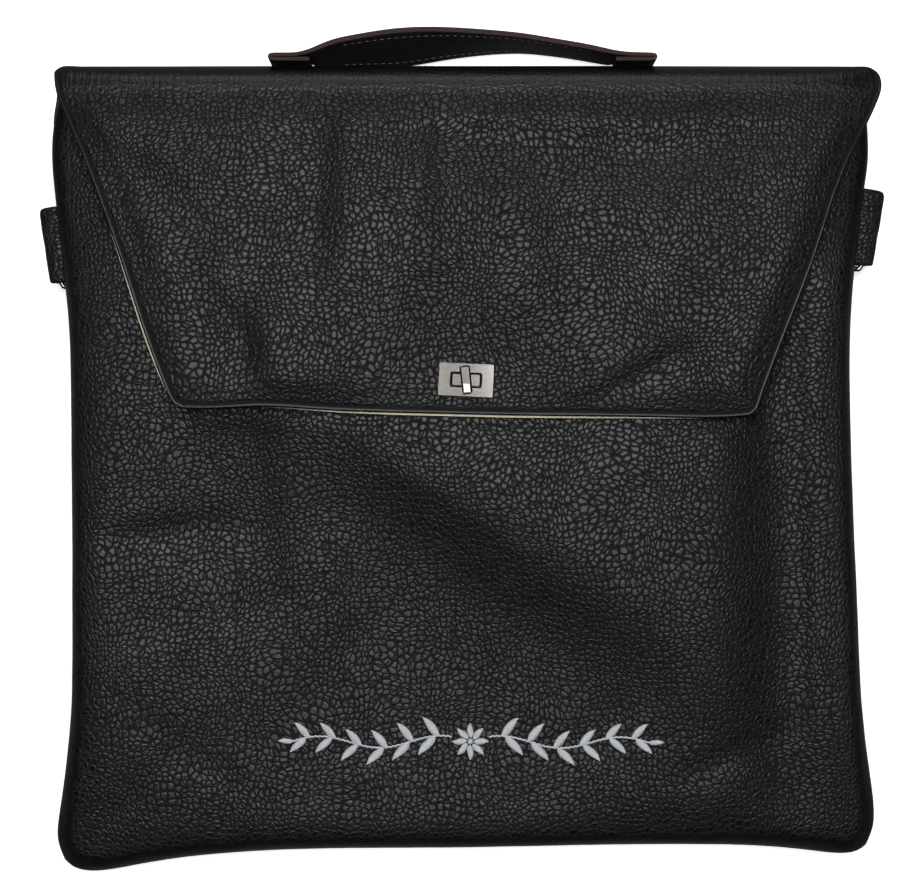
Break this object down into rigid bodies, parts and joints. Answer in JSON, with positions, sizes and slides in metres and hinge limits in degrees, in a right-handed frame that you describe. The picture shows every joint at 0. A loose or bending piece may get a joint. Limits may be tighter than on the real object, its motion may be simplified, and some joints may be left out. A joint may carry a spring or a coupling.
{
  "type": "tallit bag",
  "caption": "Flat leather pouch with a fold-over flap held by a turn lock, a carrying handle on the top fold and folded rings in side tabs.",
  "frame": {"origin": "middle of the flat face of the back that the bag rests on, in the middle of its width and about the middle of its height", "axes": "+X to the right across the bag as it is seen from the front, +Y from the bottom seam to the handle, +Z from the back it rests on out of the front"},
  "size_m": [0.382, 0.3817, 0.0425],
  "materials": {
    "pebbled_leather": "black pebble grain, semi-matt",
    "strap_leather": "black, smooth with a fine grain",
    "lining_hide": "tan, undyed, matt",
    "nickel": "polished nickel plating"
  },
  "bodies": {
    "bag": {"front_panel": "pebbled_leather", "back_panel": "pebbled_leather", "flap": "pebbled_leather", "flap_lining": "lining_hide", "handle": "strap_leather", "side_tab_left": "strap_leather", "side_tab_right": "strap_leather", "lock_plate": "nickel", "lock_boss": "nickel"},
    "turn_button": {"turn_button": "nickel"},
    "ring_left": {"d_ring_left": "nickel"},
    "ring_right": {"d_ring_right": "nickel"}
  },
  "joints": [
    {"name": "turn_button_pivot", "type": "hinge", "parent": "bag", "child": "turn_button", "pos_m": [-0.0006, 0.0354, 0.038], "axis": [0, 0, 1], "range_deg": [-8.8, 81.2]},
    {"name": "ring_left_pivot", "type": "hinge", "parent": "bag", "child": "ring_left", "pos_m": [-0.18773, 0.09586, 0.00898], "axis": [-0.1121, 0.9937, 0], "range_deg": [0, 130]},
    {"name": "ring_right_pivot", "type": "hinge", "parent": "bag", "child": "ring_right", "pos_m": [0.18326, 0.10382, 0.00827], "axis": [-0.1291, -0.9916, 0], "range_deg": [0, 130]}
  ]
}
